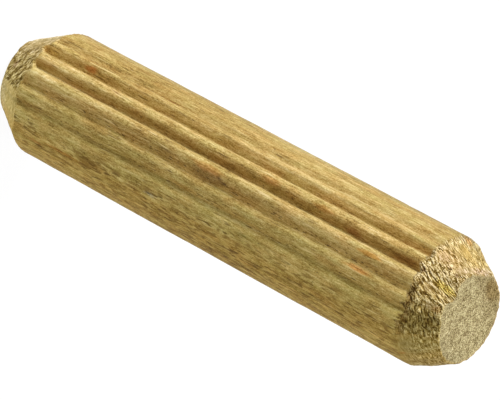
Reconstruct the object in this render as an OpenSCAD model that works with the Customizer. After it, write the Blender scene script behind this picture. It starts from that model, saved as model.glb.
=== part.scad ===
// Fluted hardwood dowel pin: a straight-grained rod with flutes pressed into two opposite
// sides by a pair of grooved rollers, and a chamfer at both ends so that it starts easily.
// The pin stands along Z on one end face, with its axis on Z and the flutes to -Y and +Y.

/* [Pin] */
// Length of the pin, from end face to end face
pin_length = 35; // [16:1:80]
// Diameter over the plain sides and the lands of the ridges
pin_diameter = 8; // [6:0.5:16]

/* [Flutes] */
// Number of flutes on each of the two fluted sides
flutes_per_side = 5; // [3:1:7]
// Angle from each flute to the next, around the pin
flute_pitch = 18; // [14:1:24]
// Depth of the flute in the middle of each side
flute_depth = 0.4; // [0.25:0.05:0.5]
// Depth of the outermost flute of each side, where the rollers part
edge_flute_depth = 0.2; // [0.1:0.05:0.25]
// Width of the land of uncut rod that is left along the top of each ridge
ridge_land = 0.25; // [0.15:0.05:0.4]

/* [Ends] */
// Length of each end chamfer, measured along the pin
chamfer_length = 2.1; // [0.8:0.1:5]
// How far each end chamfer cuts in from the plain sides to the rim of the flat end face
chamfer_depth = 1.15; // [0.5:0.05:2]

/* [Hidden] */
$fn = 96;

wood_colour = [0.78, 0.63, 0.36];

pin_radius = pin_diameter / 2;
half_pitch = flute_pitch / 2;
half_land_angle = ridge_land / pin_diameter * 180 / PI;
outermost_flute = (flutes_per_side - 1) / 2;

// The flute cutters reach out past the rod by this much
cutter_overhang = 1;
// The rod is longer than the pin by this much at each end, and is cut back to it
rod_spare = 1;
// The chamfer cones run on past the rod's surface for this length, so that they cut cleanly
cone_overrun = 0.5;

// The rollers bite deepest in the middle of a side and less towards where they part
function depth_of_flute(flute) =
    flute_depth - (flute_depth - edge_flute_depth) * pow(flute / outermost_flute, 2);

// Section of one flute that points along +X: what is left between the round shoulders of the
// ridges on its two sides. Each shoulder runs from the edge of its land to the valley.
module flute_section(depth) {
    valley_radius = pin_radius - depth;
    reach = pin_radius + cutter_overhang;
    shoulder_centre = (pow(pin_radius, 2) - pow(valley_radius, 2))
        / (2 * (pin_radius * cos(half_land_angle) - valley_radius * cos(half_pitch)));
    shoulder_radius = sqrt(pow(pin_radius, 2) + pow(shoulder_centre, 2)
        - 2 * pin_radius * shoulder_centre * cos(half_land_angle));
    difference() {
        polygon([
            shoulder_centre * [cos(half_pitch), -sin(half_pitch)],
            reach * [cos(half_pitch), -sin(half_pitch)],
            reach * [cos(half_pitch), sin(half_pitch)],
            shoulder_centre * [cos(half_pitch), sin(half_pitch)]
        ]);
        for (side = [-1, 1])
            rotate(side * half_pitch)
                translate([shoulder_centre, 0])
                    circle(r = shoulder_radius);
    }
}

module rod_section() {
    difference() {
        circle(r = pin_radius);
        for (side_angle = [-90, 90], flute = [-outermost_flute : outermost_flute])
            rotate(side_angle + flute * flute_pitch)
                flute_section(depth_of_flute(flute));
    }
}

module fluted_rod() {
    translate([0, 0, -rod_spare])
        linear_extrude(height = pin_length + 2 * rod_spare)
            rod_section();
}

// The space between the two end cutters: flat end faces, and a cone behind each of them
module chamfered_blank() {
    face_radius = pin_radius - chamfer_depth;
    cone_length = chamfer_length + cone_overrun;
    cone_radius = face_radius + cone_length * chamfer_depth / chamfer_length;
    rotate_extrude()
        polygon([
            [0, 0],
            [face_radius, 0],
            [cone_radius, cone_length],
            [cone_radius, pin_length - cone_length],
            [face_radius, pin_length],
            [0, pin_length]
        ]);
}

module dowel_pin() {
    color(wood_colour)
        intersection() {
            fluted_rod();
            chamfered_blank();
        }
}

dowel_pin();
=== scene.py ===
import math

import bmesh
import bpy
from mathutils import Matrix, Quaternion, Vector, noise


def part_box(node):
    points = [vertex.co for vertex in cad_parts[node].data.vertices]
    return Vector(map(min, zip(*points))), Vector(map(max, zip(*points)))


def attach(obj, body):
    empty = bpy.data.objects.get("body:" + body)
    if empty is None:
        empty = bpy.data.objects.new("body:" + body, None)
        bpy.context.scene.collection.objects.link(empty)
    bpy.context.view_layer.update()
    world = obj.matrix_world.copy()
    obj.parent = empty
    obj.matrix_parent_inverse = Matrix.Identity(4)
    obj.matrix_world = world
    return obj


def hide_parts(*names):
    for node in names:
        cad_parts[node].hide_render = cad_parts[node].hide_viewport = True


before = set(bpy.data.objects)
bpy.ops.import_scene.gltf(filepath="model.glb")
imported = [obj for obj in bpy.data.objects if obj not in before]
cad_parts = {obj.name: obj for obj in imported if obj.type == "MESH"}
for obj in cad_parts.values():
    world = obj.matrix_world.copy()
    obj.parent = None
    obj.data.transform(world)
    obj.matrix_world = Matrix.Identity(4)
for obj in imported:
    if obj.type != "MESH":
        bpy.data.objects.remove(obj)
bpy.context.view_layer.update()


# --- Fluted rod ---------------------------------------------------------------------------
# One length of straight-grained hardwood rod, pressed on two sides between grooved rollers
# and cut to a blunt cone at both ends. It is one solid piece of bare wood. It is drawn in
# millimetres as rings from the foot to the top, and is made metres at the end.

MM = 0.001
low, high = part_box("dowel_pin")
PIN_LENGTH = (high.z - low.z) / MM
PIN_RADIUS = (high.x - low.x) / 2 / MM

# Degrees around the axis. Everything on the front is given from the middle front flute: less
# than 0 on its upper side and more on its lower side, as the pin lies before the camera.
FRONT, BACK = -90.0, 90.0

# Depth of each flute, at its angle from the middle one. The press marks one side deeper.
FLUTE_DEPTHS = {
    FRONT: {-34.6: 0.15, -19.5: 0.42, -1.9: 0.48, 18.0: 0.32, 35.4: 0.29},
    BACK: {-36.0: 0.22, -18.0: 0.38, 0.0: 0.44, 18.0: 0.36, 36.0: 0.24},
}
# A flute has one steep wall and one long gentle wall, which meet at its bottom line
STEEP_WALL, STEEP_CURVE = 8.1, 3.1
GENTLE_WALL, GENTLE_CURVE = 9.9, 1.65
# How unevenly the rollers pressed it along its length. The outer front flutes come and go.
WOBBLE, OUTER_WOBBLE = 0.3, 0.9

# The usual length of each cut, the radius of the flat face inside it, and the radius on which
# places around a cut are measured in millimetres
TOP_CUT, TOP_FACE_RADIUS = 2.1, 2.84
FOOT_CUT, FOOT_FACE_RADIUS = 2.40, 2.70
CUT_RADIUS = 3.4

# How far the torn strands of the cut cones lean over to the lower side, in degrees, and where
# on the top cut one lean gives way to the next
UPPER_LEAN, FRONT_LEAN, LOWER_LEAN, FOOT_LEAN = 2.0, 24.0, 74.0, 55.0
UPPER_TO_FRONT = (-34.0, -6.0)
FRONT_TO_LOWER = (12.0, 28.0)
# The seam behind, where the way around begins and ends, is blended over from here on
SEAM_FROM = 140.0

# How far the torn wood stands up and the cracks go in, and how far a cut lies below the side
TORN_HEIGHT, CRACK_DEPTH, LEDGE = 0.055, 0.12, 0.02
# Torn wood runs out past the border of its cut by less than this
RUNS_OUT = 0.8
# The border of the top cut is notched most here, low on the front
NOTCHES_FRONT = 33.0
# A chip of wood stands up on the top cut, high on the upper side, with a hollow between it and
# the end. The cone is a little fuller than a straight one near the end, high up and low down.
CHIP_FRONT, CHIP_FROM_END, HOLLOW_FROM_END = -84.0, 2.12, 1.66
CHIP_HEIGHT, BULGE_HEIGHT = 0.08, 0.10
# The flat ends are a little hollow, inside the share of the radius where they begin
FACE_EDGE, FACE_HOLLOW = 0.97, 0.07

# Points around, and the steps between rings: on the cuts, and on the length between them.
# The fine steps reach a little past the cuts.
AROUND = 400
FINE_STEP, BODY_STEP = 0.06, 0.28
FOOT_FINE, TOP_FINE = FOOT_CUT + 0.4, PIN_LENGTH - TOP_CUT - 0.6
TOP_FACE_RINGS, FOOT_FACE_RINGS = 20, 8


def turned(angle, middle):
    """Degrees from middle to angle, the short way round"""
    return (angle - middle + 180.0) % 360.0 - 180.0


def eased(value, start, end):
    """0 up to the start, 1 from the end on, smooth between"""
    share = min(1.0, max(0.0, (value - start) / (end - start)))
    return share * share * (3 - 2 * share)


def hill(value, middle, half_width, edge=0.5):
    """1 around the middle, falling to 0 at the half width. Edge is the share that slopes."""
    return 1 - eased(abs(value - middle), half_width * (1 - edge), half_width)


def nearest_flute(angle, height):
    """The flute that shapes this place: its full depth, and degrees from its bottom line"""
    for side, depths in FLUTE_DEPTHS.items():
        wander = 0.5 * noise.noise(Vector((height * 0.10, side, 0.0)))
        wander += 0.3 * noise.noise(Vector((height * 0.7, side, angle * 0.05)))
        from_side = turned(angle, side) + wander
        for flute, depth in depths.items():
            from_bottom = from_side - flute
            if -GENTLE_WALL < from_bottom < STEEP_WALL:
                wobble = OUTER_WOBBLE if abs(flute) > 30 and side == FRONT else WOBBLE
                depth *= 1 + wobble * noise.noise(Vector((height * 0.28, flute * 3.7, side)))
                return depth, from_bottom
    return 0.0, 0.0


def flute_drop(depth, from_bottom):
    """How far the rollers pressed the wood in"""
    if from_bottom > 0:
        return depth * (1 - from_bottom / STEEP_WALL) ** STEEP_CURVE
    return depth * (1 + from_bottom / GENTLE_WALL) ** GENTLE_CURVE


def fibre_relief(x, y, height):
    """Low waves and raised fibres of bare wood, measured inwards from the full radius"""
    waves = noise.noise(Vector((x * 0.8, y * 0.8, height * 0.12)))
    fibres = noise.noise(Vector((x * 3.4, y * 3.4, height * 0.35 + 9.0)))
    fine = noise.noise(Vector((x * 6.5, y * 6.5, height * 0.9 + 31.0)))
    return max(0.0, 0.010 - 0.014 * waves - 0.016 * fibres - 0.012 * fine)


def torn_strands(around, along, lean, seed):
    """Short strands of torn wood on a cut cone, which lean over by so many degrees"""
    bend = Vector((around * 2.0, along * 2.0, seed))
    around += 0.09 * noise.noise(bend)
    along += 0.09 * noise.noise(bend + Vector((9.0, 4.0, 0.0)))
    turn = math.radians(lean)
    with_strand = along * math.cos(turn) + around * math.sin(turn)
    over_strand = around * math.cos(turn) - along * math.sin(turn)
    chunk = noise.noise(Vector((around * 2.4, along * 2.4, seed + 11.0)))
    strand = noise.noise(Vector((over_strand * 8.0, with_strand * 1.5, seed + 7.0)))
    fine = noise.noise(Vector((over_strand * 13.0, with_strand * 2.6, seed + 3.0)))
    return 0.35 * chunk + 0.5 * math.tanh(3.0 * strand) + 0.55 * fine


# Patches of the top cut where the strands lie flat: degrees from the middle flute, height,
# half the width around (degrees) and half the length (mm)
FLAT_PATCHES = [
    (-26.0, 33.4, 8.0, 0.42),
    (-27.0, 34.5, 7.0, 0.36),
    (5.8, 33.8, 6.0, 0.38),
    (20.6, 34.3, 6.0, 0.42),
    (-52.0, 33.6, 8.0, 0.50),
]
# Cracks in the foot cut: degrees from the middle flute, height, half the length and width (mm)
FOOT_CRACKS = [
    (20.5, 0.76, 0.60, 0.11),
    (7.0, 1.30, 0.62, 0.13),
    (17.5, 2.15, 0.62, 0.10),
    (12.0, 1.80, 0.45, 0.07),
    (24.0, 1.45, 0.36, 0.06),
    (-9.3, 0.80, 0.30, 0.10),
    (-14.0, 0.95, 0.30, 0.07),
    (0.0, 0.80, 0.36, 0.05),
    (-4.0, 1.75, 0.30, 0.06),
    (-18.0, 1.60, 0.30, 0.05),
]


def how_flat(front, height):
    """1 in the middle of a flat patch, falling to 0 outside it"""
    flat = 0.0
    for patch_front, patch_height, half_around, half_along in FLAT_PATCHES:
        round_by = turned(front, patch_front) / half_around
        along_by = (height - patch_height) / half_along
        flat = max(flat, 1 - eased(math.hypot(round_by, along_by), 0.6, 1.1))
    return flat


def how_cracked(front, height):
    """1 at the bottom of a crack in the foot cut. The cracks all run down to the lower side."""
    cracked = 0.0
    turn = math.radians(FOOT_LEAN)
    for crack_front, crack_height, half_length, half_width in FOOT_CRACKS:
        around = math.radians(turned(front, crack_front)) * CUT_RADIUS
        down = crack_height - height
        with_crack = down * math.cos(turn) + around * math.sin(turn)
        over_crack = around * math.cos(turn) - down * math.sin(turn)
        over_crack += 0.10 * noise.noise(Vector((with_crack * 3.0, crack_front, 33.0)))
        share = math.hypot(with_crack / half_length, over_crack / half_width)
        cracked = max(cracked, 1 - eased(share, 0.3, 1.1))
    return cracked


def how_torn(front):
    """0 where the top cut is fairly clean, 1 where its strands are torn up most"""
    return hill(front, 0.0, 42.0, 0.6)


def rubbed_flat(front, into_cut):
    """The strands are rubbed flat along the border of the top cut, low on the front"""
    return 0.65 * hill(front, 76.0, 32.0) * (1 - eased(into_cut, 0.2, 1.1))


def strand_contrast(front, height, into_cut, at_top):
    """How much lighter the raised strands of a cut are than the gaps between them, partly the
    wood's own tone and partly painted shade in the gaps
    """
    if at_top:
        rough = 1.7 + 2.2 * how_torn(front) + 0.8 * hill(front, -70.0, 34.0)
        rough += 0.5 * hill(front, -8.0, 20.0) + 0.4 * hill(front, 44.0, 18.0)
        rough -= 0.3 * hill(front, 72.0, 20.0)
        return rough * (1 - 0.55 * how_flat(front, height)) * (1 - rubbed_flat(front, into_cut))
    rough = 1.1 + 0.7 * hill(front, 4.0, 26.0)
    return rough - (rough - 0.45) * hill(front, 46.0, 24.0, 0.35)


def top_tear(front, around, along):
    """The strands lean over above the front, and lie right across and finer below it"""
    upper = torn_strands(around, along, UPPER_LEAN, 1.0)
    facing = torn_strands(around, along, FRONT_LEAN, 20.0)
    lower = torn_strands(around, along, LOWER_LEAN, 40.0)
    mixed = upper + (facing - upper) * eased(front, *UPPER_TO_FRONT)
    mixed += (lower - mixed) * eased(front, *FRONT_TO_LOWER)
    mixed *= 1 - 0.35 * hill(front, -64.0, 26.0, 0.7)
    return mixed * (0.40 + 0.60 * how_torn(front) + 0.3 * hill(front, 44.0, 22.0))


def foot_tear(front, around, along):
    """The foot is crumbly, and smooth on the lower side of the front"""
    crumbs = torn_strands(around, along * 0.7, FOOT_LEAN, 60.0)
    soft = noise.noise(Vector((around * 2.6, along * 2.0, 5.0)))
    return (0.30 * crumbs + 0.5 * soft) * (1 - 0.85 * hill(front, 46.0, 24.0, 0.35))


def without_seam(tear, front, around, along):
    """Blends the tear with itself once round, so that it closes behind"""
    there = tear(front, around, along)
    if abs(front) < SEAM_FROM:
        return there
    once_round = math.copysign(math.tau * CUT_RADIUS, around)
    again = tear(front - math.copysign(360.0, front), around - once_round, along)
    return there + (again - there) * 0.5 * eased(abs(front), SEAM_FROM, 180.0)


def top_cut_length(front):
    """The top cut is longer on the upper side of the front"""
    longer = 0.22 * hill(front, -40.0, 70.0, 0.8) + 0.22 * hill(front, -86.0, 34.0, 0.7)
    return TOP_CUT + longer - 0.15 * hill(front, 20.0, 25.0)


def foot_cut_length(front):
    """The border of the foot cut runs out and in again along the front"""
    longer = 0.20 * hill(front, 48.0, 18.0, 0.6) + 0.20 * hill(front, 2.0, 7.0, 0.8)
    return FOOT_CUT + longer - 0.20 * hill(front, -22.0, 6.0, 0.8)


def foot_face_radius(front):
    """The foot's flat face is a little wider above the middle flute, and narrower below it"""
    return FOOT_FACE_RADIUS + 0.11 * hill(front, -26.0, 14.0) - 0.18 * hill(front, 54.0, 62.0, 0.6)


def top_face_radius(front):
    """The top's flat face is not round, and its border is ragged"""
    wobble = 0.16 * math.cos(math.radians(2 * (front - 150.0)))
    ragged = 0.07 * noise.noise(Vector((front * 0.14, 0.0, 8.0)))
    bulge = 0.22 * hill(front, 21.0, 15.0) - 0.42 * hill(front, -1.0, 14.0, 0.8)
    upper = 0.26 * hill(front, -56.0, 24.0, 0.7) + 0.12 * hill(front, -86.0, 40.0, 0.8)
    return TOP_FACE_RADIUS + wobble + ragged + bulge - upper


def border_wander(front, around, at_top):
    """How far the torn wood runs out past the border of its cut, in splits along the grain"""
    splits = noise.noise(Vector((around * 3.2, 70.0, at_top)))
    slivers = noise.noise(Vector((around * 8.0, 75.0, at_top)))
    size = 0.12 + 0.32 * hill(front, NOTCHES_FRONT, 28.0) if at_top else 0.08
    return size * (0.8 * splits + 1.0 * slivers)


def ring_heights():
    """Where the rings are, close together on the two cuts"""
    heights = []
    height = 0.0
    while height < PIN_LENGTH - FINE_STEP / 2:
        heights.append(height)
        on_cut = height < FOOT_FINE or height > TOP_FINE
        height += FINE_STEP if on_cut else BODY_STEP
    heights.append(PIN_LENGTH)
    return heights


def raise_rim(shape, rim, rise=0.0, scale=1.0):
    """Extrudes the open rim into a new ring, then lifts or narrows that ring"""
    made = bmesh.ops.extrude_edge_only(shape, edges=rim)["geom"]
    ring = [part for part in made if isinstance(part, bmesh.types.BMVert)]
    inside = set(ring)
    edges = [part for part in made if isinstance(part, bmesh.types.BMEdge)]
    bmesh.ops.translate(shape, verts=ring, vec=(0, 0, rise))
    bmesh.ops.scale(shape, verts=ring, vec=(scale, scale, 1))
    return [edge for edge in edges if inside.issuperset(edge.verts)]


def close_end(shape, rim, rings):
    """Fills a flat end with narrower and narrower rings, down to one point on the axis"""
    width = 1.0
    for ring in range(1, rings):
        narrower = 1 - ring / rings
        rim = raise_rim(shape, rim, scale=narrower / width)
        width = narrower
    rim = raise_rim(shape, rim)
    middle = list({point for edge in rim for point in edge.verts})
    bmesh.ops.pointmerge(shape, verts=middle, merge_co=(0, 0, middle[0].co.z))


# Stains and marks on the front, and one place of painted light, as a maker would point them out:
# degrees from the middle flute, height, half its width around (degrees), half its length (mm),
# tint, how soft
MARKS = [
    (12.0, 17.4, 7.0, 1.55, (0.80, 0.74, 0.76), 0.35),
    (6.6, 17.2, 4.4, 1.40, (0.98, 0.80, 0.62), 0.40),
    (12.2, 18.7, 1.5, 0.22, (0.30, 0.25, 0.25), 0.50),
    (9.8, 18.2, 1.2, 0.16, (0.35, 0.28, 0.28), 0.50),
    (-9.7, 21.3, 3.4, 0.95, (0.92, 0.72, 0.58), 0.55),
    (-9.8, 25.3, 3.2, 0.95, (0.94, 0.74, 0.58), 0.55),
    (-5.2, 27.7, 3.2, 0.75, (0.74, 0.58, 0.50), 0.50),
    (-5.3, 31.6, 4.0, 1.40, (0.76, 0.64, 0.54), 0.80),
    (6.0, 29.7, 3.0, 1.05, (1.00, 0.72, 0.46), 0.50),
    (21.5, 29.4, 2.4, 1.00, (1.06, 0.78, 0.66), 0.40),
    (-24.0, 5.95, 3.2, 0.60, (1.00, 0.64, 0.46), 0.60),
    (-30.0, 3.8, 4.0, 2.40, (1.22, 1.24, 1.34), 0.60),
    # Painted light: lightens a spot near the foot that the flute's end leaves in shade
    (-22.5, 2.90, 3.4, 0.50, (1.24, 1.28, 1.20), 0.60),
    (-19.0, 4.0, 1.8, 1.60, (1.14, 1.16, 1.16), 0.60),
    (55.0, 8.90, 6.0, 1.00, (0.58, 0.50, 0.36), 0.20),
    (59.0, 6.6, 2.2, 2.30, (0.90, 0.68, 0.50), 0.80),
    (63.0, 4.4, 1.8, 0.90, (0.72, 0.52, 0.38), 0.60),
    (55.0, 12.4, 1.6, 0.80, (0.62, 0.54, 0.44), 0.50),
    (-34.4, 11.9, 2.2, 0.45, (0.88, 0.70, 0.60), 0.60),
    (52.6, 13.9, 2.6, 0.42, (1.50, 1.80, 3.60), 0.60),
    (51.6, 13.8, 1.2, 0.30, (0.25, 0.25, 0.30), 0.50),
    (65.5, 19.9, 1.0, 1.10, (0.42, 0.33, 0.30), 0.60),
    (67.4, 27.7, 1.0, 0.60, (0.45, 0.36, 0.30), 0.60),
    (71.9, 26.0, 1.0, 0.50, (0.45, 0.36, 0.30), 0.60),
    (43.6, 21.1, 1.8, 0.50, (0.62, 0.64, 0.55), 0.50),
    (-14.0, 8.65, 0.8, 0.60, (0.50, 0.38, 0.30), 0.50),
]
# Lines of paler and darker grain along the whole length: degrees from the middle flute, half
# the width around (degrees), tint. They are made longer than the pin, so that none fades out.
GRAIN_LINES = [
    (-52.3, 3.2, (0.89, 0.88, 0.86)),
    (-38.6, 3.2, (0.91, 0.92, 0.93)),
    (-33.9, 1.8, (0.90, 0.90, 0.92)),
    (-10.9, 2.2, (1.17, 1.18, 1.18)),
    (-5.3, 2.6, (0.88, 0.87, 0.82)),
    (8.6, 2.8, (0.88, 0.87, 0.84)),
    (24.2, 3.8, (0.83, 0.83, 0.80)),
    (17.0, 1.6, (1.10, 1.11, 1.08)),
    (20.4, 1.8, (0.90, 0.90, 0.90)),
    (36.0, 4.4, (0.80, 0.80, 0.78)),
    (41.4, 2.4, (0.92, 0.91, 0.88)),
    (66.5, 3.6, (0.91, 0.90, 0.87)),
    (71.2, 2.4, (1.09, 1.08, 1.06)),
]
LINE_MIDDLE, LINE_HALF_LENGTH, LINE_SOFTNESS = 17.5, 60.0, 0.80
for line_front, half_around, tint in GRAIN_LINES:
    MARKS.append((line_front, LINE_MIDDLE, half_around, LINE_HALF_LENGTH, tint, LINE_SOFTNESS))

# The same as the marks, for stains, one place of painted shade and one of painted light that are
# only on the wood of the two cuts
CUT_MARKS = [
    # Painted shade: the lower side of the top cut is darkened
    (36.0, 34.0, 24.0, 1.7, (0.56, 0.52, 0.38), 0.70),
    (47.0, 34.0, 14.0, 1.6, (0.80, 0.80, 0.76), 0.60),
    (9.0, 33.9, 9.0, 1.4, (0.83, 0.80, 0.68), 0.60),
    (22.0, 34.7, 5.0, 0.35, (0.96, 0.82, 0.70), 0.60),
    (-64.0, 33.9, 22.0, 1.3, (1.17, 1.12, 0.92), 0.60),
    (-84.0, 33.7, 24.0, 1.2, (0.96, 0.92, 0.74), 0.60),
    (-70.0, 32.85, 8.0, 0.42, (0.98, 0.74, 0.50), 0.80),
    (-74.0, 32.70, 3.0, 0.16, (0.55, 0.38, 0.26), 0.60),
    (-62.0, 34.78, 24.0, 0.30, (1.08, 1.04, 1.28), 0.70),
    (-3.0, 34.4, 6.0, 0.85, (1.24, 1.22, 0.64), 0.60),
    (-22.0, 34.05, 2.2, 0.16, (0.45, 0.36, 0.30), 0.70),
    (-20.5, 34.55, 3.0, 0.18, (0.45, 0.36, 0.30), 0.70),
    (-5.0, 33.0, 3.6, 0.16, (0.45, 0.34, 0.26), 0.70),
    (27.4, 33.9, 4.2, 0.10, (3.00, 3.40, 5.60), 0.60),
    (32.0, 33.4, 3.4, 0.10, (3.00, 3.40, 5.60), 0.60),
    (-30.0, 33.6, 14.0, 1.0, (1.12, 1.06, 1.08), 0.60),
    (-45.0, 34.75, 26.0, 0.35, (1.06, 1.06, 1.25), 0.70),
    (68.0, 34.0, 16.0, 2.0, (0.85, 0.93, 1.04), 0.60),
    (-26.0, 33.4, 8.0, 0.42, (1.00, 1.02, 1.28), 0.60),
    (-27.0, 34.5, 7.0, 0.36, (1.00, 1.02, 1.28), 0.60),
    (5.8, 33.8, 6.0, 0.38, (1.00, 1.02, 1.28), 0.60),
    (20.6, 34.3, 6.0, 0.42, (1.00, 1.02, 1.28), 0.60),
    (56.0, 33.00, 2.2, 0.20, (0.52, 0.42, 0.24), 0.60),
    (64.0, 32.95, 2.0, 0.18, (0.56, 0.46, 0.30), 0.60),
    (71.0, 32.86, 1.8, 0.16, (0.56, 0.46, 0.32), 0.60),
    (80.0, 33.04, 2.0, 0.34, (1.00, 0.74, 0.56), 0.60),
    (42.0, 33.30, 4.0, 0.34, (0.66, 0.56, 0.34), 0.60),
    (38.0, 34.45, 5.0, 0.34, (0.70, 0.62, 0.42), 0.60),
    (-60.0, 1.0, 26.0, 4.0, (1.55, 1.75, 2.40), 0.60),
    # Painted sheen: the far edge of the foot cut is paler and greyer
    (54.0, 0.30, 44.0, 0.90, (1.07, 1.13, 1.50), 0.80),
    (-26.0, 1.0, 24.0, 4.0, (1.24, 1.28, 1.44), 0.60),
    (7.0, 1.0, 24.0, 4.0, (1.10, 1.13, 1.02), 0.60),
    (46.0, 1.0, 25.0, 4.0, (1.30, 1.34, 1.42), 0.20),
    (4.0, 0.70, 7.0, 0.30, (0.84, 0.76, 0.90), 0.60),
]
# How far out past its size a mark is still looked at, where its border is ragged
MARK_REACH = 1.7

# The long wall of a deep flute is darker brown, partly its own pressed wood and partly painted
# shade, and the steep wall and the crest are lighter with painted light, in full from these depths
# on
PRESSED_WALL_SHADE, PAINTED_WALL_LIGHT = Vector((0.80, 0.68, 0.48)), Vector((1.20, 1.26, 1.44))
PRESSED_SHADE_FROM, WALL_LIGHT_FROM = 0.48, 0.42
# It is greener low on the front, golden below that, and paler high up on the plain side
GREENISH, GOLDEN = Vector((1.08, 1.13, 0.98)), Vector((1.05, 1.00, 0.72))
PALER = Vector((0.90, 0.95, 1.12))
# The end face is darker on the upper side, and brown in one place near its upper edge
DARKER_FACE, BROWN_FACE = Vector((0.76, 0.72, 0.66)), Vector((0.62, 0.53, 0.40))
DARKER_FRONT, BROWN_FRONT = -104.0, -100.0
BROWN_FROM_AXIS = 0.84
# Painted shade darkens the notches along the border of the top cut, and the cracks of the foot
NOTCH_SHADE, CRACK_SHADE = Vector((0.44, 0.36, 0.20)), Vector((0.40, 0.34, 0.16))
PLAIN = Vector((1.0, 1.0, 1.0))


def tinted(first, second):
    """One tint laid over another"""
    return Vector(a * b for a, b in zip(first, second))


def side_tint(front):
    """The slow change of colour around the pin"""
    tint = PLAIN.lerp(GREENISH, eased(front, 4.0, 40.0)).lerp(PALER, hill(front, -76.0, 20.0))
    return tint.lerp(GOLDEN, eased(front, 48.0, 60.0)).lerp(PLAIN, eased(front, 80.0, 150.0))


def mark_tint(marks, front, height):
    """All the marks that cover this place, laid over each other"""
    tint = PLAIN
    for mark_front, mark_height, half_around, half_along, colour, soft in marks:
        round_by = abs(turned(front, mark_front)) / half_around
        along_by = abs(height - mark_height) / half_along
        if round_by > MARK_REACH or along_by > MARK_REACH:
            continue
        ragged = 1 + 0.45 * noise.noise(Vector((front * 0.9, height * 2.2, 60.0)))
        amount = 1 - eased(math.hypot(round_by, along_by) * ragged, 1 - soft, 1.0)
        tint = tinted(tint, PLAIN.lerp(Vector(colour), amount))
    return tint


def flute_shade_and_light(depth, from_bottom):
    """Painted shade on the long wall, partly the darker pressed wood, and painted light on the
    steep wall and the crest, stronger in a deeper flute
    """
    strength = min(1.0, depth / PRESSED_SHADE_FROM) ** 1.6
    pressed_shade = hill(from_bottom, -3.6, 5.3, 0.85) * strength
    wall_light = hill(from_bottom, 4.8, 5.6, 0.8) + 0.5 * hill(from_bottom, -GENTLE_WALL, 2.4, 1.0)
    wall_light *= min(1.0, depth / WALL_LIGHT_FROM) ** 2
    return PLAIN.lerp(PRESSED_WALL_SHADE, pressed_shade).lerp(PAINTED_WALL_LIGHT, wall_light)


def face_tint(front, share):
    """The colour of an end face, at a share of the way from its middle to its edge, with painted
    shade on the outer rim past the lower edge
    """
    upper = share * math.cos(math.radians(front - DARKER_FRONT))
    patch = noise.noise(Vector((upper * 3.0, share * math.sin(math.radians(front)) * 3.0, 90.0)))
    edge = 0.22 * eased(share, 0.70, 0.95) * hill(front, -66.0, 44.0)
    tint = PLAIN.lerp(DARKER_FACE, min(1.2, eased(upper + 0.4 * patch, 0.20, 0.90) + edge))
    turn = math.radians(front - BROWN_FRONT)
    inwards = share * math.cos(turn) - BROWN_FROM_AXIS
    from_brown = math.hypot(inwards, 0.9 * share * math.sin(turn))
    tint = tint.lerp(BROWN_FACE, 1 - eased(from_brown + 0.2 * patch, 0.12, 0.36))
    # Painted shade: the outer rim of the face past the lower edge is darker
    return tint * (1 - 0.17 * eased(share, 0.60, 0.95) * hill(front, 100.0, 50.0))


# A plain rod of rings, with both ends closed
shape = bmesh.new()
bmesh.ops.create_circle(shape, segments=AROUND, radius=PIN_RADIUS)
foot_rim = list(shape.edges)
rim = foot_rim
heights = ring_heights()
for below, above in zip(heights, heights[1:]):
    rim = raise_rim(shape, rim, rise=above - below)
close_end(shape, rim, TOP_FACE_RINGS)
close_end(shape, foot_rim, FOOT_FACE_RINGS)

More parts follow.
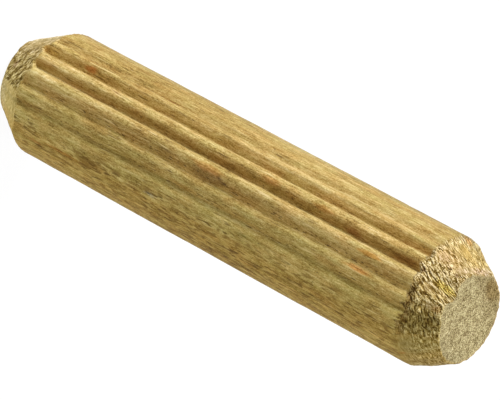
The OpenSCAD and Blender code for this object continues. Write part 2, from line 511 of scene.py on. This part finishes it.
# What the wood's material reads at each point, then the true place and colour of each point
cut_layer = shape.verts.layers.float.new("cut_wood")
face_layer = shape.verts.layers.float.new("end_face")
torn_layer = shape.verts.layers.float.new("torn_height")
contrast_layer = shape.verts.layers.float.new("strand_contrast")
flute_flecks_layer = shape.verts.layers.float.new("flute_bottom_flecks")
worn_layer = shape.verts.layers.float.new("worn_side")
place_layer = shape.verts.layers.float_vector.new("cut_place")
stain_and_shading_layer = shape.verts.layers.float_color.new("stain_and_painted_shading")
for point in shape.verts:
    # Where the point is: around, up, and as a share of the way out from the axis
    height = point.co.z
    reach = math.hypot(point.co.x, point.co.y)
    share = reach / PIN_RADIUS
    angle = math.degrees(math.atan2(point.co.y, point.co.x)) if reach > 1e-6 else FRONT
    front = turned(angle, FRONT)
    cosine, sine = math.cos(math.radians(angle)), math.sin(math.radians(angle))
    around = math.radians(front) * CUT_RADIUS

    # How far the cone, the flute and the bare wood bring it in
    at_top = height > PIN_LENGTH / 2
    from_end = PIN_LENGTH - height if at_top else height
    cut_length = top_cut_length(front) if at_top else foot_cut_length(front)
    face_radius = top_face_radius(front) if at_top else foot_face_radius(front)
    into_cut = cut_length - from_end
    along_strands = into_cut if at_top else FOOT_CUT - from_end
    slope = (PIN_RADIUS - face_radius) / cut_length
    depth, from_bottom = nearest_flute(angle, height)
    fading = 1 - eased(into_cut, -0.10, 0.35) if at_top else 1 - eased(into_cut, -0.10, 0.12)
    drop = flute_drop(depth, from_bottom) * fading
    x, y = cosine * PIN_RADIUS, sine * PIN_RADIUS
    radius = PIN_RADIUS - max(0.0, into_cut) * slope - drop - fibre_relief(x, y, height)

    # The torn wood of the cuts
    torn = 0.0
    cut = 0.0
    if into_cut > -RUNS_OUT:
        tear = without_seam(top_tear if at_top else foot_tear, front, around, along_strands)
        torn = tear * eased(share, 0.96, 1.0)
        if at_top:
            torn *= (1 - 0.5 * how_flat(front, height)) * (1 - rubbed_flat(front, into_cut))
        past_border = into_cut + border_wander(front, around, at_top) + 0.06 * torn
        soft = 0.30 * hill(front, 80.0, 36.0, 0.6) if at_top else 0.0
        cut = eased(past_border, -0.04 - soft, 0.05 + soft)
        notched = hill(front, NOTCHES_FRONT, 30.0)
        ledge = LEDGE + 0.05 * hill(past_border, 0.12, 0.25) * notched
        if not at_top:
            ledge += 0.05 * hill(front, -16.0, 40.0)
        near_face = 0.25 + 0.75 * eased(from_end, 0.0, 0.35)
        radius += (TORN_HEIGHT * torn - ledge) * cut * near_face
        cracked = 0.0 if at_top else how_cracked(front, height) * cut
        radius -= CRACK_DEPTH * cracked
        if at_top:
            chip = hill(front, CHIP_FRONT, 16.0) * hill(from_end, CHIP_FROM_END, 0.20)
            chip -= hill(front, CHIP_FRONT, 32.0, 0.8) * hill(from_end, HOLLOW_FROM_END, 0.42, 0.8)
            bulge = hill(front, 92.0, 40.0) * hill(from_end, 1.0, 1.0, 1.0)
            bulge += 0.4 * hill(front, -94.0, 24.0) * hill(from_end, 0.6, 0.6, 1.0)
            radius += CHIP_HEIGHT * chip + BULGE_HEIGHT * bulge

    # Its colour, and the hollow of the end faces
    if share < FACE_EDGE:
        tint = face_tint(front, share)
        rough = 0.5 + 0.5 * noise.noise(Vector((point.co.x * 1.6, point.co.y * 1.6, height)))
        sunk = FACE_HOLLOW * rough * (1 - eased(share, 0.80, FACE_EDGE))
        point.co.z += -sunk if at_top else sunk
    else:
        tint = tinted(side_tint(front), mark_tint(MARKS, front, height))
    if cut > 0 and share > FACE_EDGE:
        tint = tinted(tint, PLAIN.lerp(mark_tint(CUT_MARKS, front, height), cut))
    # Painted shade in the cracks of the foot
    if cut > 0 and not at_top:
        tint = tinted(tint, PLAIN.lerp(CRACK_SHADE, cracked))
    # Painted shade in the notches along the border of the top cut
    if at_top and cut > 0:
        notch_shade = hill(past_border, 0.16, 0.36, 0.8) * notched
        tint = tint.lerp(NOTCH_SHADE, notch_shade * eased(torn + 0.3, -0.5, 0.5))
    # Painted shade on the long wall of each flute, partly its darker pressed wood, and painted
    # light on the steep wall and the crest
    if depth:
        tint = tinted(tint, flute_shade_and_light(depth * fading * (1 - cut), from_bottom))

    point[cut_layer] = cut
    point[face_layer] = 1 - eased(share, FACE_EDGE, 1.0)
    point[torn_layer] = torn
    point[contrast_layer] = strand_contrast(front, height, into_cut, at_top)
    # Dark flecks are drawn near the bottom of each flute, on the lower side of the front
    point[flute_flecks_layer] = hill(from_bottom, -3.0, 3.6) * eased(front, 4.0, 12.0) if depth else 0.0
    point[worn_layer] = eased(front, 38.0, 52.0) - eased(front, 92.0, 135.0)
    point[place_layer] = (around, along_strands, 1.0 if at_top else 0.0)
    # Real stains together with painted shade and painted light, in one colour
    point[stain_and_shading_layer] = (*tint, 1.0)
    point.co.x, point.co.y = cosine * radius * share, sine * radius * share

bmesh.ops.recalc_face_normals(shape, faces=shape.faces)
bmesh.ops.scale(shape, verts=shape.verts, vec=(MM, MM, MM))
rod_mesh = bpy.data.meshes.new("fluted_rod")
shape.to_mesh(rod_mesh)
shape.free()
rod_mesh.shade_smooth()
rod = bpy.data.objects.new("fluted_rod", rod_mesh)
bpy.context.scene.collection.objects.link(rod)
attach(rod, "root")
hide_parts("dowel_pin")

# Bare wood: dull, with fine relief
DULLNESS, SHEEN = 0.8, 0.12
RELIEF_STRENGTH, RELIEF_HEIGHT = 0.8, 0.05 * MM
wood = bpy.data.materials.new("bare_hardwood")
wood.use_nodes = True
nodes, links = wood.node_tree.nodes, wood.node_tree.links
shader = nodes["Principled BSDF"]
shader.inputs["Roughness"].default_value = DULLNESS
shader.inputs["Specular IOR Level"].default_value = SHEEN
rod_mesh.materials.append(wood)
on_rod = nodes.new("ShaderNodeTexCoord").outputs["Object"]


def wire(value, socket):
    """Joins a node's output to a socket, or sets the socket where the value is a plain one"""
    if isinstance(value, bpy.types.NodeSocket):
        links.new(value, socket)
    else:
        socket.default_value = value


def reckon(operation, first, second=0.0, clamp=False):
    """One step of arithmetic on one or two values. Clamp keeps it from 0 to 1."""
    node = nodes.new("ShaderNodeMath")
    node.operation = operation
    node.use_clamp = clamp
    for value, socket in zip((first, second), node.inputs):
        wire(value, socket)
    return node.outputs[0]


def grain_noise(across, along, detail=2.0, roughness=0.5, shift=0.0):
    """Noise with so many grains to the millimetre across the pin and along it"""
    mapping = nodes.new("ShaderNodeMapping")
    mapping.inputs["Location"].default_value = (shift, -shift, shift * 0.7)
    mapping.inputs["Scale"].default_value = (across / MM, across / MM, along / MM)
    links.new(on_rod, mapping.inputs["Vector"])
    texture = nodes.new("ShaderNodeTexNoise")
    texture.inputs["Scale"].default_value = 1.0
    texture.inputs["Detail"].default_value = detail
    texture.inputs["Roughness"].default_value = roughness
    links.new(mapping.outputs["Vector"], texture.inputs["Vector"])
    return texture.outputs["Fac"]


def colour_ramp(value, stops):
    """Turns a tone into a colour, through the colours given at their tones"""
    ramp = nodes.new("ShaderNodeValToRGB")
    wire(value, ramp.inputs["Fac"])
    elements = ramp.color_ramp.elements
    while len(elements) < len(stops):
        elements.new(0.5)
    for element, (place, colour) in zip(elements, stops):
        element.position = place
        element.color = (*colour, 1)
    return ramp.outputs["Color"]


def blend_colours(kind, amount, first, second):
    """Two colours mixed, or the second laid over the first"""
    node = nodes.new("ShaderNodeMix")
    node.data_type = "RGBA"
    node.blend_type = kind
    sockets = [socket for socket in node.inputs if socket.enabled]
    for value, socket in zip((amount, first, second), sockets):
        wire(value, socket)
    return next(socket for socket in node.outputs if socket.enabled)


def attribute(name, output="Fac"):
    """What the loop over the points left on the mesh"""
    node = nodes.new("ShaderNodeAttribute")
    node.attribute_name = name
    return node.outputs[output]


def bent(place, wander, bends):
    """Moves every place a little this way and that, so that what is drawn there is crooked"""
    texture = nodes.new("ShaderNodeTexNoise")
    texture.inputs["Scale"].default_value = bends
    links.new(place, texture.inputs["Vector"])
    away = nodes.new("ShaderNodeVectorMath")
    away.operation = "MULTIPLY_ADD"
    links.new(texture.outputs["Color"], away.inputs[0])
    away.inputs[1].default_value = (wander, wander, 0)
    links.new(place, away.inputs[2])
    return away.outputs[0]


def strand_noise(place, lean, across, along):
    """Noise drawn out along strands that lean over by so many degrees"""
    turn = nodes.new("ShaderNodeMapping")
    turn.vector_type = "TEXTURE"
    turn.inputs["Rotation"].default_value = (0, 0, math.radians(-lean))
    links.new(place, turn.inputs["Vector"])
    stretch = nodes.new("ShaderNodeMapping")
    stretch.inputs["Scale"].default_value = (across, along, 1)
    stretch.inputs["Location"].default_value = (lean, lean * 0.3, 0)
    links.new(turn.outputs["Vector"], stretch.inputs["Vector"])
    texture = nodes.new("ShaderNodeTexNoise")
    texture.inputs["Scale"].default_value = 1.0
    links.new(stretch.outputs["Vector"], texture.inputs["Vector"])
    return texture.outputs["Fac"]


def slide(value, start, end):
    """0 up to the start, 1 from the end on, straight between"""
    node = nodes.new("ShaderNodeMapRange")
    for socket, number in zip(node.inputs[:3], (value, start, end)):
        wire(number, socket)
    return node.outputs["Result"]


def mix_values(amount, first, second):
    """The first where the amount is 0, the second where it is 1"""
    return reckon("ADD", first, reckon("MULTIPLY", amount, reckon("SUBTRACT", second, first)))


# The side: how pale or dark the grain is, from fine to broad
broad = grain_noise(0.40, 0.06, detail=1.0, shift=3.0)
streaks = grain_noise(7.0, 0.60, detail=3.0, roughness=0.55, shift=11.0)
fine = grain_noise(15.0, 3.0, detail=2.0, roughness=0.6, shift=23.0)
specks = grain_noise(16.0, 11.0, detail=1.0, shift=31.0)
blotches = grain_noise(2.4, 0.75, detail=2.0, shift=97.0)
worn = attribute("worn_side")
blotched = reckon("ADD", 0.40, reckon("MULTIPLY", worn, 0.45))
grains = ((streaks, 0.75), (fine, 0.85), (specks, 0.75), (broad, 0.4), (blotches, blotched))
tone = 0.5
for grain, strength in grains:
    tone = reckon("ADD", tone, reckon("MULTIPLY", reckon("SUBTRACT", grain, 0.5), strength))
side_grain = colour_ramp(tone, [
    (0.10, (0.150, 0.085, 0.018)),
    (0.36, (0.345, 0.220, 0.056)),
    (0.50, (0.440, 0.303, 0.094)),
    (0.66, (0.530, 0.385, 0.138)),
    (0.90, (0.700, 0.560, 0.260)),
])
patches = grain_noise(1.6, 0.6, detail=2.0, shift=71.0)
side_grain = blend_colours("MULTIPLY", 1.0, side_grain, colour_ramp(patches, [
    (0.34, (0.975, 1.020, 0.990)),
    (0.50, (1.000, 1.000, 1.000)),
    (0.66, (1.035, 0.975, 0.950)),
]))

# Flecks scattered over the side: how many to the millimetre across and along, how rare they
# are, colour, where in the noise they are taken from, and where on the pin they are drawn
EDGE_OF_FLECK = 12.0
everywhere = 1.0
flute_bottom_flecks = attribute("flute_bottom_flecks")
flecks = [
    (7.0, 0.7, 0.68, (0.20, 0.12, 0.035, 1), 41.0, everywhere),
    (9.0, 0.5, 0.66, (0.62, 0.47, 0.20, 1), 47.0, everywhere),
    (9.0, 4.0, 0.73, (0.12, 0.075, 0.03, 1), 53.0, everywhere),
    (10.0, 2.6, 0.62, (0.13, 0.08, 0.03, 1), 67.0, flute_bottom_flecks),
    (4.5, 1.5, 0.58, (0.27, 0.165, 0.045, 1), 79.0, worn),
    (6.0, 1.2, 0.60, (0.54, 0.40, 0.15, 1), 83.0, worn),
    (6.0, 1.1, 0.62, (0.17, 0.100, 0.025, 1), 89.0, worn),
]
for across, along, rare, colour, shift, drawn in flecks:
    spots = grain_noise(across, along, detail=1.0, shift=shift)
    spots = reckon("SUBTRACT", spots, rare, clamp=True)
    spots = reckon("MULTIPLY", spots, EDGE_OF_FLECK, clamp=True)
    side_grain = blend_colours("MIX", reckon("MULTIPLY", spots, drawn), side_grain, colour)

# The cuts: strands that lean over by the same degrees as in the shape, and pores behind
place = attribute("cut_place", "Vector")
where = nodes.new("ShaderNodeSeparateXYZ")
links.new(place, where.inputs["Vector"])
degree = math.radians(1.0) * CUT_RADIUS
PORES_FROM, PORES_TO = 150.0, 172.0
crooked = bent(place, 0.22, 2.2)
strands = mix_values(
    slide(where.outputs["X"], *(front * degree for front in UPPER_TO_FRONT)),
    strand_noise(crooked, UPPER_LEAN, 15.0, 2.9),
    strand_noise(crooked, FRONT_LEAN, 13.0, 2.0),
)
strands = mix_values(
    slide(where.outputs["X"], *(front * degree for front in FRONT_TO_LOWER)),
    strands,
    strand_noise(crooked, LOWER_LEAN, 13.0, 3.0),
)
strands = mix_values(where.outputs["Z"], strand_noise(crooked, FOOT_LEAN, 8.0, 3.0), strands)
pores = grain_noise(12.0, 4.0, detail=2.0, roughness=0.7, shift=57.0)
from_front = reckon("ABSOLUTE", where.outputs["X"])
behind = slide(from_front, PORES_FROM * degree, PORES_TO * degree)
strands = mix_values(behind, strands, pores)
torn = attribute("torn_height")
contrast = attribute("strand_contrast")
# Painted shade: the tone follows the relief of the torn wood, darker in its gaps and lighter on its
# raised strands
torn_tone = reckon("ADD", 0.5, reckon("MULTIPLY", torn, 0.28))
torn_tone = reckon("ADD", torn_tone, reckon("MULTIPLY", reckon("SUBTRACT", strands, 0.5), contrast))
speckle = reckon("MULTIPLY", reckon("SUBTRACT", specks, 0.5), reckon("MULTIPLY", contrast, 0.45))
torn_tone = reckon("ADD", torn_tone, speckle)
torn_wood = colour_ramp(torn_tone, [
    (0.10, (0.084, 0.042, 0.003)),
    (0.34, (0.228, 0.144, 0.028)),
    (0.50, (0.387, 0.272, 0.094)),
    (0.66, (0.562, 0.425, 0.190)),
    (0.92, (0.820, 0.680, 0.400)),
])

# The end faces show the pores end on
mottle = grain_noise(2.2, 1.0, detail=2.0, shift=63.0)
face_tone = reckon("ADD", pores, reckon("MULTIPLY", reckon("SUBTRACT", mottle, 0.5), 0.28))
end_grain = colour_ramp(face_tone, [
    (0.30, (0.070, 0.037, 0.011)),
    (0.43, (0.214, 0.157, 0.064)),
    (0.50, (0.336, 0.276, 0.132)),
    (0.58, (0.464, 0.394, 0.200)),
    (0.70, (0.740, 0.652, 0.398)),
])

# All of it together, under the stains, painted shade and painted light that were worked out at each
# point
cut_wood = blend_colours("MIX", attribute("end_face"), torn_wood, end_grain)
wood_colour = blend_colours("MIX", attribute("cut_wood"), side_grain, cut_wood)
wood_colour = blend_colours("MULTIPLY", 1.0, wood_colour, attribute("stain_and_painted_shading", "Color"))
links.new(wood_colour, shader.inputs["Base Color"])

relief = reckon("ADD", reckon("MULTIPLY", streaks, 0.5), reckon("MULTIPLY", fine, 0.6))
cut_relief = mix_values(
    attribute("end_face"),
    reckon("MULTIPLY", strands, contrast),
    reckon("MULTIPLY", pores, 1.6),
)
relief = mix_values(attribute("cut_wood"), relief, cut_relief)
bump = nodes.new("ShaderNodeBump")
bump.inputs["Strength"].default_value = RELIEF_STRENGTH
bump.inputs["Distance"].default_value = RELIEF_HEIGHT
links.new(relief, bump.inputs["Height"])
links.new(bump.outputs["Normal"], shader.inputs["Normal"])

# --- Table --------------------------------------------------------------------------------
# A plain white sheet, flat and round, with its rim turned up far away from the pin. It gives
# its own soft light, so that the pin stands on a clean pale ground. It is drawn in metres.

FLAT_RADIUS, RIM_RADIUS, RIM_HEIGHT = 0.7, 1.0, 0.15
RIM_STEPS, SHEET_SIDES = 8, 96
SHEET_GLOW = 0.95
floor_mesh = bpy.data.meshes.new("table")
sheet = bmesh.new()
bmesh.ops.create_circle(sheet, cap_ends=True, segments=SHEET_SIDES, radius=FLAT_RADIUS)
rim = [edge for edge in sheet.edges if edge.is_boundary]
radius, height = FLAT_RADIUS, 0.0
for step in range(1, RIM_STEPS + 1):
    share = step / RIM_STEPS
    bend = math.radians(90 * share)
    wider = FLAT_RADIUS + (RIM_RADIUS - FLAT_RADIUS) * math.sin(bend)
    higher = RIM_HEIGHT * (1 - math.cos(bend))
    rim = raise_rim(sheet, rim, rise=higher - height, scale=wider / radius)
    radius, height = wider, higher
bmesh.ops.recalc_face_normals(sheet, faces=sheet.faces)
sheet.to_mesh(floor_mesh)
sheet.free()
floor_mesh.shade_smooth()
floor = bpy.data.objects.new("table", floor_mesh)
bpy.context.scene.collection.objects.link(floor)
pale = bpy.data.materials.new("white_table")
pale.use_nodes = True
pale_shader = pale.node_tree.nodes["Principled BSDF"]
pale_shader.inputs["Base Color"].default_value = (0.05, 0.05, 0.05, 1)
pale_shader.inputs["Roughness"].default_value = 0.9
pale_shader.inputs["Emission Color"].default_value = (1, 1, 1, 1)
pale_shader.inputs["Emission Strength"].default_value = SHEET_GLOW
floor_mesh.materials.append(pale)

# --- Lights -------------------------------------------------------------------------------
# Four soft studio lamps, in a plain white room that is nearly dark. Two of them shine on the
# upper side of the front, one shines from above and a weak one from behind.

ROOM_LIGHT = 0.02
world = bpy.data.worlds.new("studio")
bpy.context.scene.world = world
world.use_nodes = True
room = world.node_tree.nodes["Background"]
room.inputs["Color"].default_value = (1, 1, 1, 1)
room.inputs["Strength"].default_value = ROOM_LIGHT


def lamp(name, front, height, strength, softness):
    """A far lamp, at degrees from the middle front flute and degrees above the table. Its
    softness is how many degrees wide it looks."""
    light = bpy.data.lights.new(name, "SUN")
    light.energy = strength
    light.angle = math.radians(softness)
    holder = bpy.data.objects.new(name, light)
    bpy.context.scene.collection.objects.link(holder)
    aside, above = math.radians(front + FRONT), math.radians(height)
    level = math.cos(above)
    towards = Vector((math.cos(aside) * level, math.sin(aside) * level, math.sin(above)))
    holder.rotation_mode = "QUATERNION"
    holder.rotation_quaternion = towards.to_track_quat("Z", "Y")
    holder.location = towards


lamp("high_key_lamp", -70.0, 45, 2.2, 25)
lamp("key_lamp", -50.0, 45, 1.6, 25)
lamp("top_lamp", 0.0, 88, 1.6, 40)
lamp("back_lamp", 160.0, 30, 0.7, 40)

# --- Camera -------------------------------------------------------------------------------
# It looks down at the front and the top end of the pin, and is rolled so that the pin lies
# across the picture from the upper left to the lower right.

AZIMUTH, ELEVATION, DISTANCE = 12.4, 33.25, 262.0 * MM
ROLL = 118.40
FOCAL_LENGTH, FILM_WIDTH = 322.3, 36.0
# How far to the right of the pin's middle, and above it, the camera aims
AIM_RIGHT, AIM_UP = 0.501 * MM, -0.344 * MM
lens = bpy.data.cameras.new("camera")
lens.lens = FOCAL_LENGTH
lens.sensor_width = FILM_WIDTH
lens.clip_start, lens.clip_end = 0.01, 10.0
camera = bpy.data.objects.new("camera", lens)
bpy.context.scene.collection.objects.link(camera)
aside, above = math.radians(AZIMUTH), math.radians(ELEVATION)
level = math.cos(above)
back = Vector((math.sin(aside) * level, -math.cos(aside) * level, math.sin(above)))
turn = (-back).to_track_quat("-Z", "Y") @ Quaternion((0, 0, 1), math.radians(ROLL))
middle = Vector((0, 0, PIN_LENGTH / 2 * MM))
aim = middle + turn @ Vector((AIM_RIGHT, AIM_UP, 0))
camera.rotation_mode = "QUATERNION"
camera.rotation_quaternion = turn
camera.location = aim + back * DISTANCE
bpy.context.scene.camera = camera
bpy.context.scene.view_settings.view_transform = "Standard"
